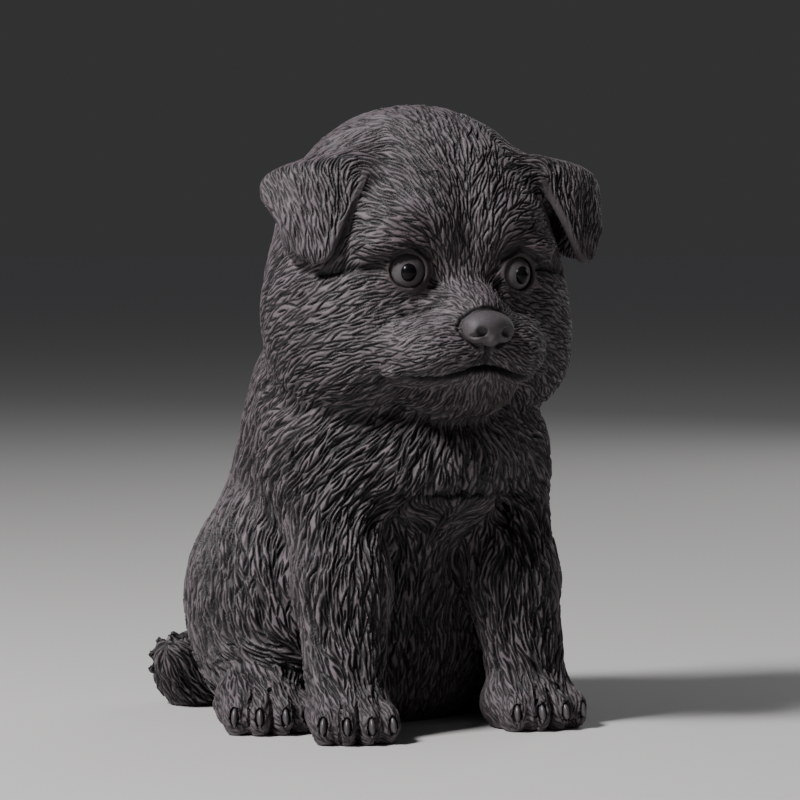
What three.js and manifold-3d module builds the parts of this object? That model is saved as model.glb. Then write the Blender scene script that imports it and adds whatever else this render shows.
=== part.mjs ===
// Seated puppy figurine in matt stoneware, 200 mm tall, as its separate cast and luted pieces.
// Millimetres, +Z up, the dog faces -Y, its own left is +X. It rests on z = 0.
import * as THREE from "three";
import { mergeVertices } from "three/addons/utils/BufferGeometryUtils.js";
import Module from "manifold-3d";

// ---- driving dimensions -------------------------------------------------------------------
const WALL = 6; // slip-cast wall of the body and head shells
const GAP = 0.3; // clearance at every joint
const SEAT = 2; // depth a limb, ear or tail is let into the shell behind it
const NECK_HEIGHT = 122; // height of the sloping neck joint on the body axis
const NECK_SLOPE = THREE.MathUtils.degToRad(31); // the joint rises towards the nape
const COLLAR = 5; // how far the neck collar stands up into the head, and hangs below the joint
const COLLAR_WALL = 3;
const ROOT = 1; // how far the collar and the ledge run into the body wall
const HEAD_TURN = THREE.MathUtils.degToRad(-3); // the head looks slightly to the dog's right
const HEAD_PIVOT_Y = -8;
const EYE = { centre: [19.3, -46.5, 146], radius: 6.5, boss: 10.5 };
const LEFT_EYE_SHIFT = [-1.1, 0, -1]; // the left eye sits slightly further in and lower
const PUPIL = { radii: [2.65, 1.15, 2.95], sunk: 0.55, outward: THREE.MathUtils.degToRad(14) };
const NOSE = { centre: [0, -66.5, 128.5], radii: [8.6, 6, 6.2] };
const LEFT_EAR_SHIFT = 3.4; // the left ear stands slightly further out
const EAR = { corners: [[29.5, -37.5, 180.5], [57.5, -24, 171], [45.8, -40, 146.5]], round: 9, thick: 2.2 };
const EAR_CUP = { across: 0.012, along: 0.007, lift: 1.5 }; // how the flap curls over the head
const PLATE = { bottom: 0.8, thickness: 4, vent: 3.5, ventBack: 26 };
const LEDGE = { height: 3, width: 3.5 };
const PEG = { radius: 4, length: 7, root: 4 };
const CLAW = { radii: [0.95, 1.35, 2.7], height: 6.3, sunk: 0.75, lean: THREE.MathUtils.degToRad(-22) };
const TOES = 4;
const TOE_HEIGHT = 6;
const TOE_SIDES = 9;
const TOE_STEP = THREE.MathUtils.degToRad(27); // angle between neighbouring toes
const REACH = 110; // rays start this far out when a cage is wrapped

const wasm = await Module();
wasm.setup();

// ---- distance fields: smooth lobes blended into one another --------------------------------
function lobe([cx, cy, cz], [rx, ry, rz], yaw = 0) {
  const c = Math.cos(yaw);
  const s = Math.sin(yaw);
  return (x, y, z) => {
    const u = ((x - cx) * c + (y - cy) * s) / rx;
    const v = ((y - cy) * c - (x - cx) * s) / ry;
    const w = (z - cz) / rz;
    const inner = Math.hypot(u, v, w);
    return (inner * (inner - 1)) / (Math.hypot(u / rx, v / ry, w / rz) + 1e-9);
  };
}

function limb(from, to, fromRadius, toRadius) {
  const [ax, ay, az] = from;
  const [dx, dy, dz] = to.map((value, i) => value - from[i]);
  const lengthSquared = dx * dx + dy * dy + dz * dz;
  return (x, y, z) => {
    const along = ((x - ax) * dx + (y - ay) * dy + (z - az) * dz) / lengthSquared;
    const t = THREE.MathUtils.clamp(along, 0, 1);
    const radial = Math.hypot(x - ax - t * dx, y - ay - t * dy, z - az - t * dz);
    return radial - fromRadius - (toRadius - fromRadius) * t;
  };
}

function blend(a, b, softness) {
  return (x, y, z) => {
    const p = a(x, y, z);
    const q = b(x, y, z);
    const h = THREE.MathUtils.clamp(0.5 + (0.5 * (q - p)) / softness, 0, 1);
    return q + (p - q) * h - softness * h * (1 - h);
  };
}

function hollowed(a, b, softness) {
  const joined = blend((x, y, z) => -a(x, y, z), b, softness);
  return (x, y, z) => -joined(x, y, z);
}

function paired(field) {
  return (x, y, z) => field(Math.abs(x), y, z);
}

function grown(field, amount) {
  return (x, y, z) => field(x, y, z) - amount;
}

function blendAll(steps) {
  return steps.slice(1).reduce((sum, [field, softness]) => blend(sum, field, softness), steps[0][0]);
}

// ---- cages and solids ------------------------------------------------------------------------
function bare(geometry) {
  geometry.deleteAttribute("normal");
  geometry.deleteAttribute("uv");
  return mergeVertices(geometry, 1e-4);
}

function roundCage(detail, flatten = [1, 1, 1]) {
  return bare(new THREE.IcosahedronGeometry(1, detail).scale(...flatten));
}

// Pulls every cage vertex in along its own ray, from outside, until it meets the field.
function wrap(cage, field, from, to = from) {
  const start = new THREE.Vector3(...from);
  const axis = new THREE.Vector3(...to).sub(start);
  const half = axis.length() / 2;
  const turn = new THREE.Quaternion();
  if (half > 0) {
    turn.setFromUnitVectors(new THREE.Vector3(0, 1, 0), axis.clone().normalize());
  }
  const geometry = cage.clone();
  const position = geometry.getAttribute("position");
  const vertex = new THREE.Vector3();
  const origin = new THREE.Vector3();
  for (let i = 0; i < position.count; i += 1) {
    vertex.fromBufferAttribute(position, i);
    origin.set(0, THREE.MathUtils.clamp(vertex.y, -half, half), 0);
    if (half === 0) {
      origin.set(0, 0, 0);
    }
    const ray = vertex.sub(origin).normalize().applyQuaternion(turn);
    origin.applyQuaternion(turn).addScaledVector(axis, 0.5).add(start);
    let outside = REACH;
    let inside = 0;
    while (outside > 0 && distance(field, origin, ray, outside) > 0.02) {
      inside = outside;
      outside -= Math.max(0.05, 0.6 * distance(field, origin, ray, outside));
    }
    for (let k = 0; k < 24; k += 1) {
      const middle = (outside + inside) / 2;
      if (distance(field, origin, ray, middle) > 0) {
        inside = middle;
      } else {
        outside = middle;
      }
    }
    position.setXYZ(
      i,
      origin.x + ray.x * outside,
      origin.y + ray.y * outside,
      origin.z + ray.z * outside,
    );
  }
  return geometry;
}

function distance(field, origin, ray, t) {
  return field(origin.x + ray.x * t, origin.y + ray.y * t, origin.z + ray.z * t);
}

function capsuleCage(from, to, capSteps, sides, lengthSteps) {
  const length = new THREE.Vector3(...from).distanceTo(new THREE.Vector3(...to));
  return bare(new THREE.CapsuleGeometry(1, length, capSteps, sides, lengthSteps));
}

function solid(geometry) {
  const clean = bare(geometry);
  const mesh = new wasm.Mesh({
    numProp: 3,
    vertProperties: new Float32Array(clean.getAttribute("position").array),
    triVerts: new Uint32Array(clean.getIndex().array),
  });
  return new wasm.Manifold(mesh);
}

function turned(geometry) {
  return geometry.translate(0, -HEAD_PIVOT_Y, 0).rotateZ(HEAD_TURN).translate(0, HEAD_PIVOT_Y, 0);
}

function ball(centre, radii, lean = 0, yaw = 0, sides = 7) {
  const geometry = new THREE.SphereGeometry(1, sides, Math.round(sides * 0.7));
  return geometry.scale(...radii).rotateX(lean).rotateZ(yaw).translate(...centre);
}

function slab(width, bottom, top) {
  return new THREE.BoxGeometry(width, width, top - bottom).translate(0, 0, (top + bottom) / 2);
}

// ---- materials ---------------------------------------------------------------------------------
function clay(colour, roughness) {
  return new THREE.MeshStandardMaterial({ color: colour, roughness, metalness: 0 });
}

const group = new THREE.Group();

function place(name, manifold, material) {
  const { vertProperties, triVerts } = manifold.getMesh();
  const geometry = new THREE.BufferGeometry();
  geometry.setAttribute("position", new THREE.BufferAttribute(new Float32Array(vertProperties), 3));
  geometry.setIndex(new THREE.BufferAttribute(new Uint32Array(triVerts), 1));
  geometry.computeVertexNormals();
  material.name = name;
  const mesh = new THREE.Mesh(geometry, material);
  mesh.name = name;
  group.add(mesh);
}

// ---- the body ------------------------------------------------------------------------------------
const torsoField = blendAll([
  [lobe([0, 32, 39], [55, 47.5, 50])],
  [lobe([0, 15, 84], [45, 44, 46]), 16],
  [lobe([0, 3, 112], [42, 37, 26]), 16],
  [lobe([0, -17, 87], [36, 31, 24]), 12],
  [paired(lobe([30, -8, 84], [19.5, 23.5, 28])), 9],
  [lobe([0, 30, 18], [47, 40, 34]), 8],
  [paired(lobe([39, 18, 38], [21.5, 32, 38], -0.14)), 5],
]);
const torsoHeart = [0, 14, 62];
const torsoCage = roundCage(7);
const torsoInnerCage = roundCage(4);
const WIDE = 400; // slabs wider and taller than the whole figurine
const ground = solid(slab(WIDE, 0, WIDE));

function torsoSolid(amount, cage = torsoCage) {
  return solid(wrap(cage, grown(torsoField, amount), torsoHeart));
}

function belowNeck(lift) {
  const cut = slab(WIDE, -WIDE, 0).rotateX(NECK_SLOPE).translate(0, 0, NECK_HEIGHT);
  return solid(cut.translate(0, -lift * Math.sin(NECK_SLOPE), lift * Math.cos(NECK_SLOPE)));
}

const torsoCore = torsoSolid(-WALL, torsoInnerCage);
const torsoSunk = torsoSolid(-SEAT);
const torsoPocketFloor = torsoSolid(-SEAT - GAP);
const collarBore = torsoSolid(-WALL - GAP - COLLAR_WALL, torsoInnerCage);
const collarBand = torsoSolid(-WALL - GAP, torsoInnerCage)
  .intersect(belowNeck(COLLAR))
  .subtract(collarBore)
  .subtract(belowNeck(-COLLAR));
const collarRoot = torsoSolid(-WALL + ROOT, torsoInnerCage)
  .intersect(belowNeck(0))
  .subtract(collarBore)
  .subtract(belowNeck(-COLLAR));
const plateTop = PLATE.bottom + PLATE.thickness;
const ledge = torsoSolid(-WALL + ROOT, torsoInnerCage)
  .subtract(torsoSolid(-WALL - LEDGE.width, torsoInnerCage))
  .intersect(solid(slab(WIDE, plateTop + GAP, plateTop + GAP + LEDGE.height)));
let torso = torsoSolid(0)
  .intersect(belowNeck(0))
  .subtract(torsoCore)
  .add(collarRoot)
  .add(collarBand)
  .add(ledge)
  .intersect(ground);

// ---- legs, paws and tail ---------------------------------------------------------------------------
const PAWS = {
  right_foreleg: {
    centre: [-34.5, -35.5, 8],
    radii: [14, 14, 11.5],
    yaw: -0.3,
    toe: { across: 13.5, ahead: 10, radii: [4.9, 7.2, 7.4] },
    joints: [[-29.5, -15, 76], [-31.5, -24, 47], [-34.5, -32, 14]],
  },
  left_foreleg: {
    centre: [31.5, -32, 8],
    radii: [16.5, 14, 11.5],
    yaw: 0,
    toe: { across: 15, ahead: 10, radii: [5.2, 7.2, 7.4] },
    joints: [[28.5, -15, 76], [29.5, -24, 47], [33, -28.5, 14]],
  },
  right_hind_paw: {
    centre: [-47, 2, 8.5],
    radii: [15.5, 18.5, 12],
    yaw: -0.28,
    toe: { across: 14.5, ahead: 14.5, radii: [5.1, 7.2, 7.4] },
  },
  left_hind_paw: {
    centre: [45.5, 2, 8.5],
    radii: [14, 18.5, 12],
    yaw: 0.2,
    toe: { across: 13, ahead: 14.5, radii: [4.8, 7.2, 7.4] },
  },
};
const LEG = { shoulder: 17, knee: 15, ankle: 12.5 }; // foreleg radii at its three joints

function toesAndClaws({ centre, yaw, toe }) {
  const [cx, cy] = centre;
  const toes = [];
  const claws = [];
  for (let i = 0; i < TOES; i += 1) {
    const angle = (i - (TOES - 1) / 2) * TOE_STEP;
    const side = Math.sin(angle) * toe.across;
    const ahead = -Math.cos(angle) * toe.ahead;
    const facing = yaw + angle * 0.5;
    const x = cx + side * Math.cos(yaw) - ahead * Math.sin(yaw);
    const y = cy + side * Math.sin(yaw) + ahead * Math.cos(yaw);
    const tip = toe.radii[1] - CLAW.radii[1] * CLAW.sunk;
    toes.push(solid(ball([x, y, TOE_HEIGHT], toe.radii, 0, facing, TOE_SIDES)));
    claws.push({
      centre: [x + tip * Math.sin(facing), y - tip * Math.cos(facing), CLAW.height],
      yaw: facing,
    });
  }
  return { toes, claws };
}

function foreleg(paw) {
  const [shoulder, knee, ankle] = paw.joints;
  const field = blendAll([
    [limb(shoulder, knee, LEG.shoulder, LEG.knee)],
    [limb(knee, ankle, LEG.knee, LEG.ankle), 6],
    [lobe(paw.centre, paw.radii, paw.yaw), 3],
  ]);
  const from = [ankle[0], ankle[1] - 2, 8];
  const to = [shoulder[0], shoulder[1], shoulder[2] - 6];
  const peg = { from: [shoulder[0], -20, 58], axis: [-0.3 * Math.sign(shoulder[0]), 0.95, 0] };
  return { field, cage: capsuleCage(from, to, 4, 18, 7), from, to, peg, ...toesAndClaws(paw) };
}

function hindPaw(paw) {
  const [x, y] = paw.centre;
  const from = [x, y - 8, 7];
  const to = [x, y + 8, 7];
  const field = lobe(paw.centre, paw.radii, paw.yaw);
  return { field, cage: capsuleCage(from, to, 4, 16, 2), from, to, ...toesAndClaws(paw) };
}

const tailPath = [
  [-2, 64, 17, 14.5],
  [-24, 73, 13, 14],
  [-40, 70, 11.5, 12.5],
  [-49, 63, 16, 9],
];
const tailSteps = tailPath.slice(1).map((end, i) => {
  const start = tailPath[i];
  return [limb(start.slice(0, 3), end.slice(0, 3), start[3], end[3]), 4];
});

function tail() {
  const from = [-6, 66, 15];
  const to = [-44, 68, 14];
  const peg = { from: [-8, 72, 14], axis: [0.15, -0.99, 0] };
  const cage = capsuleCage(from, to, 3, 14, 5);
  return { field: blendAll(tailSteps), cage, from, to, peg, toes: [], claws: [] };
}

function dowel(peg, slack) {
  const length = PEG.length + slack + PEG.root;
  const geometry = new THREE.CylinderGeometry(PEG.radius + slack, PEG.radius + slack, length, 20);
  const axis = new THREE.Vector3(...peg.axis).normalize();
  const turn = new THREE.Quaternion().setFromUnitVectors(new THREE.Vector3(0, 1, 0), axis);
  const middle = new THREE.Vector3(...peg.from).addScaledVector(axis, length / 2);
  return geometry.applyQuaternion(turn).translate(middle.x, middle.y, middle.z);
}

const limbs = {
  right_foreleg: foreleg(PAWS.right_foreleg),
  left_foreleg: foreleg(PAWS.left_foreleg),
  right_hind_paw: hindPaw(PAWS.right_hind_paw),
  left_hind_paw: hindPaw(PAWS.left_hind_paw),
  tail: tail(),
};

const clawSolids = {};
for (const [name, part] of Object.entries(limbs)) {
  let piece = solid(wrap(part.cage, part.field, part.from, part.to));
  piece = part.toes.reduce((sum, toe) => sum.add(toe), piece).subtract(torsoSunk);
  const clear = solid(wrap(part.cage, grown(part.field, GAP), part.from, part.to));
  torso = torso.subtract(clear.subtract(torsoPocketFloor));
  if (part.peg) {
    piece = piece.add(solid(dowel(part.peg, 0)));
    torso = torso.subtract(solid(dowel(part.peg, GAP)));
  }
  const stem = name.replace("_paw", "");
  part.claws.forEach(({ centre, yaw }, i) => {
    const slot = CLAW.radii.map((radius) => radius + GAP);
    piece = piece.subtract(solid(ball(centre, slot, CLAW.lean, yaw)));
    clawSolids[`${stem}_claw_${i + 1}`] = solid(ball(centre, CLAW.radii, CLAW.lean, yaw));
  });
  part.solid = piece.intersect(ground);
}

// ---- the head ----------------------------------------------------------------------------------------
const skullField = blendAll([
  [lobe([0, -13, 156], [44, 41, 42.5])],
  [paired(lobe([24, -15, 131], [26.5, 33, 30])), 13],
  [paired(lobe([27, -20, 117], [20, 24, 17])), 10],
  [lobe([0, -46, 121.5], [27, 20, 15]), 9],
  [paired(lobe([11, -52.5, 121], [14, 13.5, 9.5])), 5],
  [lobe([0, -49, 132.5], [10.5, 17.5, 10]), 8],
  [lobe([0, -41.5, 107.5], [19.5, 16.5, 8.5]), 4],
  [paired(lobe([16, -39, 160], [15, 14, 10])), 8],
  [paired(lobe([25, -45, 153.5], [10, 8, 4.5], 0.5)), 4],
]);
const faceField = hollowed(skullField, paired(lobe([19, -59.5, 145.5], [9, 8.5, 6.5])), 5);
const cavityField = hollowed(
  grown(skullField, -WALL),
  paired(lobe(EYE.centre, [EYE.boss, EYE.boss, EYE.boss])),
  3,
);
const headHeart = [0, -16, 138];
const headCage = roundCage(7);

function headSolid(field, amount, cage = headCage) {
  return solid(turned(wrap(cage, grown(field, amount), headHeart)));
}

let head = headSolid(faceField, 0).subtract(headSolid(cavityField, 0, roundCage(4)));
const neckFit = torsoSolid(GAP).intersect(belowNeck(GAP));
const collarFit = torsoSolid(-WALL, torsoInnerCage).intersect(belowNeck(COLLAR + GAP));
head = head.subtract(neckFit).subtract(collarFit);

// ---- ears: a rounded flap folded forward over a thick root ---------------------------------------------
const earCorners = EAR.corners.map((corner) => new THREE.Vector3(...corner));
const [earFront, earCorner, earTip] = earCorners;
const earCentre = earFront.clone().add(earCorner).add(earTip).divideScalar(3);

function flapField() {
  const across = earCorner.clone().sub(earFront).normalize();
  const down = earTip.clone().sub(earFront);
  const out = across.clone().cross(down).normalize();
  if (out.y > 0) {
    out.negate();
  }
  const along = out.clone().cross(across);
  const flat = earCorners.map((corner) => {
    const offset = corner.clone().sub(earCentre);
    return new THREE.Vector2(offset.dot(across), offset.dot(along));
  });
  const inset = flat.map((corner) => corner.multiplyScalar(1 - EAR.round / corner.length()));
  return (x, y, z) => {
    const offset = new THREE.Vector3(x, y, z).sub(earCentre);
    const point = new THREE.Vector2(offset.dot(across), offset.dot(along));
    const cup = EAR_CUP.across * point.x * point.x + EAR_CUP.along * point.y * point.y;
    const lift = offset.dot(out) + cup - EAR_CUP.lift;
    const rim = outline(point, inset) - EAR.round + EAR.thick;
    return Math.hypot(Math.max(rim, 0), lift) - EAR.thick;
  };
}

function outline(point, corners) {
  let nearest = Infinity;
  let turns = 0;
  corners.forEach((corner, i) => {
    const edge = corners[(i + 1) % corners.length].clone().sub(corner);
    const offset = point.clone().sub(corner);
    const t = THREE.MathUtils.clamp(offset.dot(edge) / edge.lengthSq(), 0, 1);
    turns += Math.sign(edge.cross(offset));
    nearest = Math.min(nearest, offset.addScaledVector(edge, -t).length());
  });
  return Math.abs(turns) === corners.length ? -nearest : nearest;
}

const earField = blendAll([
  [flapField()],
  [lobe([40, -22, 172], [14.5, 13, 8], 0.35), 5],
  [lobe([47, -27, 160], [5, 9, 11], 0.5), 3],
]);
const headSunk = headSolid(faceField, -SEAT);
const headPocketFloor = headSolid(faceField, -SEAT - GAP);
const ears = {};
for (const [name, side] of [["left_ear", 1], ["right_ear", -1]]) {
  const shift = side > 0 ? LEFT_EAR_SHIFT : 0;
  const heart = [(earCentre.x - 1) * side + shift, earCentre.y + 5, earCentre.z + 2];
  const field = (x, y, z) => earField((x - shift) * side, y, z);
  const flap = turned(wrap(roundCage(4), field, heart));
  const clear = turned(wrap(roundCage(4), grown(field, GAP), heart));
  ears[name] = solid(flap).subtract(headSunk);
  head = head.subtract(solid(clear).subtract(headPocketFloor));
}

// ---- nose, eyes and pupils --------------------------------------------------------------------------------
const noseClear = NOSE.radii.map((radius) => radius + GAP);
const nose = solid(turned(ball(NOSE.centre, NOSE.radii, 0, 0, 16)));
head = head.subtract(solid(turned(ball(NOSE.centre, noseClear, 0, 0, 16))));

const eyes = {};
for (const [side, sign] of [["left", 1], ["right", -1]]) {
  const shift = sign > 0 ? LEFT_EYE_SHIFT : [0, 0, 0];
  const centre = EYE.centre.map((value, axis) => (axis === 0 ? value * sign : value) + shift[axis]);
  const looking = PUPIL.outward * sign;
  const front = [
    centre[0] + Math.sin(looking) * (EYE.radius - PUPIL.sunk),
    centre[1] - Math.cos(looking) * (EYE.radius - PUPIL.sunk),
    centre[2],
  ];
  const recess = PUPIL.radii.map((radius) => radius + GAP);
  const globe = [EYE.radius, EYE.radius, EYE.radius];
  const socket = globe.map((radius) => radius + GAP);
  const eyeball = solid(turned(ball(centre, globe, 0, 0, 16)));
  eyes[`${side}_eyeball`] = eyeball.subtract(solid(turned(ball(front, recess, 0, looking, 10))));
  eyes[`${side}_pupil`] = solid(turned(ball(front, PUPIL.radii, 0, looking, 10)));
  head = head.subtract(solid(turned(ball(centre, socket, 0, 0, 16))));
}

// ---- base plate closing the pour opening ----------------------------------------------------------------------
const vent = new THREE.CylinderGeometry(PLATE.vent, PLATE.vent, 4 * plateTop, 24).rotateX(Math.PI / 2);
const plate = torsoSolid(-WALL - GAP, torsoInnerCage)
  .intersect(solid(slab(400, PLATE.bottom, plateTop)))
  .subtract(solid(vent.translate(0, PLATE.ventBack, 0)));

// ---- assembly ----------------------------------------------------------------------------------------------------
place("torso_shell", torso, clay(0x524c50, 0.82));
place("head_shell", head, clay(0x544e52, 0.8));
for (const [name, piece] of Object.entries(ears)) {
  place(name, piece, clay(0x4f494d, 0.82));
}
place("nose", nose, clay(0x3c373b, 0.5));
for (const [name, piece] of Object.entries(eyes)) {
  const material = name.endsWith("pupil") ? clay(0x08080a, 0.08) : clay(0x5a5457, 0.35);
  place(name, piece, material);
}
for (const [name, part] of Object.entries(limbs)) {
  place(name, part.solid, clay(0x504a4e, 0.82));
}
for (const [name, piece] of Object.entries(clawSolids)) {
  place(name, piece, clay(0x3a363a, 0.45));
}
place("base_plate", plate, clay(0x4a4548, 0.9));

// The shared frame starts at the middle of the footprint, on the resting plane.
const bounds = new THREE.Box3().setFromObject(group);
const middle = bounds.getCenter(new THREE.Vector3());
for (const mesh of group.children) {
  mesh.geometry.translate(-middle.x, -middle.y, -bounds.min.z);
}

export default group;
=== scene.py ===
"""Seated puppy figurine in dark matt stoneware: carved fur, folded ears, set-in eyes, glazed claws."""
import math
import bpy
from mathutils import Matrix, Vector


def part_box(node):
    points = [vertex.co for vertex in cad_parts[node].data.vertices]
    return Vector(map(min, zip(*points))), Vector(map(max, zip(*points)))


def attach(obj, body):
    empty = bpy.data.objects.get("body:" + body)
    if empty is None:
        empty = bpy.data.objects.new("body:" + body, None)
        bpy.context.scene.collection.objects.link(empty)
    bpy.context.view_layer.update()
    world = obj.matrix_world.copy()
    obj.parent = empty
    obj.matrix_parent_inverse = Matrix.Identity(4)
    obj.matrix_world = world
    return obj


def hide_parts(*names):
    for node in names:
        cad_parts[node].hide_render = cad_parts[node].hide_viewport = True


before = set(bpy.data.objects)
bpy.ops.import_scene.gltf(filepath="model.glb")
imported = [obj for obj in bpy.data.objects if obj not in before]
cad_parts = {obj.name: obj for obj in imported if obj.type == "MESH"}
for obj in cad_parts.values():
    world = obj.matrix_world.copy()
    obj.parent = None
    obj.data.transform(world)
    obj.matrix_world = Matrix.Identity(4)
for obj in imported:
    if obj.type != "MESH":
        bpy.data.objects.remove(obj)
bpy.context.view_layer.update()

from concurrent.futures import ThreadPoolExecutor

import bmesh
import bpy
import numpy as np
from mathutils import Vector

MM = 0.001
F = np.float32
RNG = np.random.default_rng(20407)

# ---- sizes of the figurine, in mm, in the sculptor's frame: faces -Y, own left is +X ----
HEAD_TURN = math.radians(-3.0)
HEAD_PIVOT = np.array([0.0, -8.0, 0.0])
EYE = np.array([18.6, -46.5, 146.0])
EYE_R = 6.5
EYE_OUT = math.radians(14)  # how far each eye looks outward
LID_R = 7.7
LID_GAP = (5.05, 4.5)  # half the width and half the height of the opening between the lids
PUPIL_R = (2.65, 2.2, 2.95)
PUPIL_SUNK, PUPIL_DROP = 1.3, 0.4  # how far a pupil's centre lies inside and below the front of the eye
EYE_SHIFT = np.array([1.1, 0.0, 1.0])  # the left eye is this much further in and lower
EAR_SHIFT = 3.4  # the left ear is this much further out
NOSE = np.array([0.0, -66.5, 128.5])
NOSE_STEP = 0.42  # grid step of the nose pad
SKIN_STEP = 0.64  # grid step of the skin, before each face is split in four
SKIN_LOW, SKIN_HIGH = (-72, -82, -3), (72, 95, 206)
BLOCK = 4  # grid cells along a block that is sampled or skipped as one
RIM_DEPTH = 1.5  # how far a piece's edge turns in behind the skin
TOE_STEP = math.radians(27)
CLAW_R = np.array([0.95, 1.35, 2.7])
CLAW_LEAN = math.radians(-22)
CLAW_Z, TOE_Z = 6.3, 6.0
CLAW_SLOT = 0.55  # gap round a claw in its toe
NECK_Z, NECK_TILT = 122, math.radians(31)  # the plane above which nothing counts as body
RUFF_Z = 75.5  # the ruff's lower edge at the middle of the chest
WALL, RECESS_Z = 5.9, 5.2  # the foot rim's width and the height of the recess for the base plate


# ---- smooth distance fields; p is a (3, n) array ----
def lobe(p, c, r, yaw=0.0, lean=0.0):
    """Ellipsoid with centre c and radii r, turned about Z and then leaned about its own X."""
    x, y, z = p[0] - F(c[0]), p[1] - F(c[1]), p[2] - F(c[2])
    if yaw:
        a, b = F(math.cos(yaw)), F(math.sin(yaw))
        x, y = x * a + y * b, y * a - x * b
    if lean:
        a, b = F(math.cos(lean)), F(math.sin(lean))
        y, z = y * a + z * b, z * a - y * b
    x, y, z = x / F(r[0]), y / F(r[1]), z / F(r[2])
    k0 = np.sqrt(x * x + y * y + z * z)
    x, y, z = x / F(r[0]), y / F(r[1]), z / F(r[2])
    return k0 * (k0 - 1) / (np.sqrt(x * x + y * y + z * z) + F(1e-6))


def limb(p, a, b, ra, rb):
    """Rounded rod from a to b, its radius going from ra to rb."""
    d = np.subtract(b, a)
    x, y, z = p[0] - F(a[0]), p[1] - F(a[1]), p[2] - F(a[2])
    t = np.clip((x * F(d[0]) + y * F(d[1]) + z * F(d[2])) / F(d @ d), 0, 1)
    x, y, z = x - t * F(d[0]), y - t * F(d[1]), z - t * F(d[2])
    return np.sqrt(x * x + y * y + z * z) - F(ra) - F(rb - ra) * t


def smin(a, b, k):
    """The nearer of two distances, rounded over a width of k."""
    k = np.asarray(k, F)
    h = np.clip(F(0.5) + (b - a) * F(0.5) / k, 0, 1)
    return b + (a - b) * h - k * h * (1 - h)


def smax(a, b, k):
    return -smin(-a, -b, k)


def to_head(p):
    c, s = F(math.cos(HEAD_TURN)), F(math.sin(HEAD_TURN))
    x, y = p[0], p[1] - F(HEAD_PIVOT[1])
    return np.stack([x * c + y * s, y * c - x * s + F(HEAD_PIVOT[1]), p[2]])


def from_head(q):
    c, s = math.cos(HEAD_TURN), math.sin(HEAD_TURN)
    q = np.asarray(q, float) - HEAD_PIVOT
    out = q.copy()
    out[..., 0] = q[..., 0] * c - q[..., 1] * s
    out[..., 1] = q[..., 0] * s + q[..., 1] * c
    return out + HEAD_PIVOT


def head_dir(v):
    return from_head(np.asarray(v, float) + HEAD_PIVOT) - HEAD_PIVOT


# ---- the head, in its own turned frame; m is mirrored to the dog's left ----
def eye_axes():
    out = np.array([math.sin(EYE_OUT), -math.cos(EYE_OUT), 0.0])
    side = np.array([math.cos(EYE_OUT), math.sin(EYE_OUT), 0.0])
    return out, side


def skull(h, m):
    d = lobe(h, (0, -13, 156), (44, 41, 42.5))
    d = smin(d, lobe(m, (24, -15, 131), (26.5, 33, 30)), 13)
    d = smin(d, lobe(m, (27, -20, 117), (20, 24, 17)), 10)
    d = smin(d, lobe(h, (0, -46, 121.5), (27, 20, 15)), 9)
    d = smin(d, lobe(m, (11, -52.5, 121), (14, 13.5, 9.5)), 5)
    d = smin(d, lobe(h, (0, -49, 132.5), (10.5, 17.5, 10)), 8)
    d = smin(d, lobe(h, (0, -41.5, 107.5), (19.5, 16.5, 8.5)), 4)
    d = smin(d, lobe(m, (16, -39, 160), (15, 14, 10)), 8)
    d = smin(d, lobe(m, (25, -45, 153.5), (10, 8, 4.5), 0.5), 4)
    d = smax(d, -lobe(m, (19.0, -59.5, 145.5), (9, 8.5, 6.5)), 5)
    d = smin(d, lobe(m, (24, -51, 114.8), (4.6, 4.2, 2.4), 0.6), 1.5)
    along = np.clip((h[2] - F(146)) / 8, 0, 1) * np.clip((F(194) - h[2]) / 12, 0, 1)
    return d + F(1.7) * np.exp(-(h[0] / F(5.5)) ** 2) * along * np.clip((F(-28) - h[1]) / 8, 0, 1)


def lids(d, m):
    """Adds a ball of lid round the eye, open in front and hollowed for the eyeball."""
    out, side = eye_axes()
    x, y, z = m[0] - F(EYE[0]), m[1] - F(EYE[1]), m[2] - F(EYE[2])
    far = np.sqrt(x * x + y * y + z * z)
    along = x * F(out[0]) + y * F(out[1])
    lateral = x * F(side[0]) + y * F(side[1])
    d = smin(d, np.maximum(far - F(LID_R), -along - 3), 3)
    bevel = F(0.6) * np.maximum(along - F(3.6), 0)
    hole = np.sqrt((lateral / (F(LID_GAP[0]) + bevel)) ** 2 + ((z + F(0.1)) / (F(LID_GAP[1]) + bevel)) ** 2)
    d = smax(d, -np.maximum((hole - 1) * F(5), F(1.0) - along), 0.8)
    return np.maximum(d, F(EYE_R + 0.35) - far)


EAR_POINTS = np.array([[29.5, -37.5, 180.5], [57.5, -24, 173], [45.8, -40, 148.3]])
EAR_ROUND, EAR_THICK = 6.5, 1.7


def ear_frame():
    a, b, c = EAR_POINTS
    u = (b - a) / np.linalg.norm(b - a)
    n = np.cross(b - a, c - a)
    n /= np.linalg.norm(n)
    if n[1] > 0:
        n = -n
    return (a + b + c) / 3, u, np.cross(n, u), n


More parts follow.
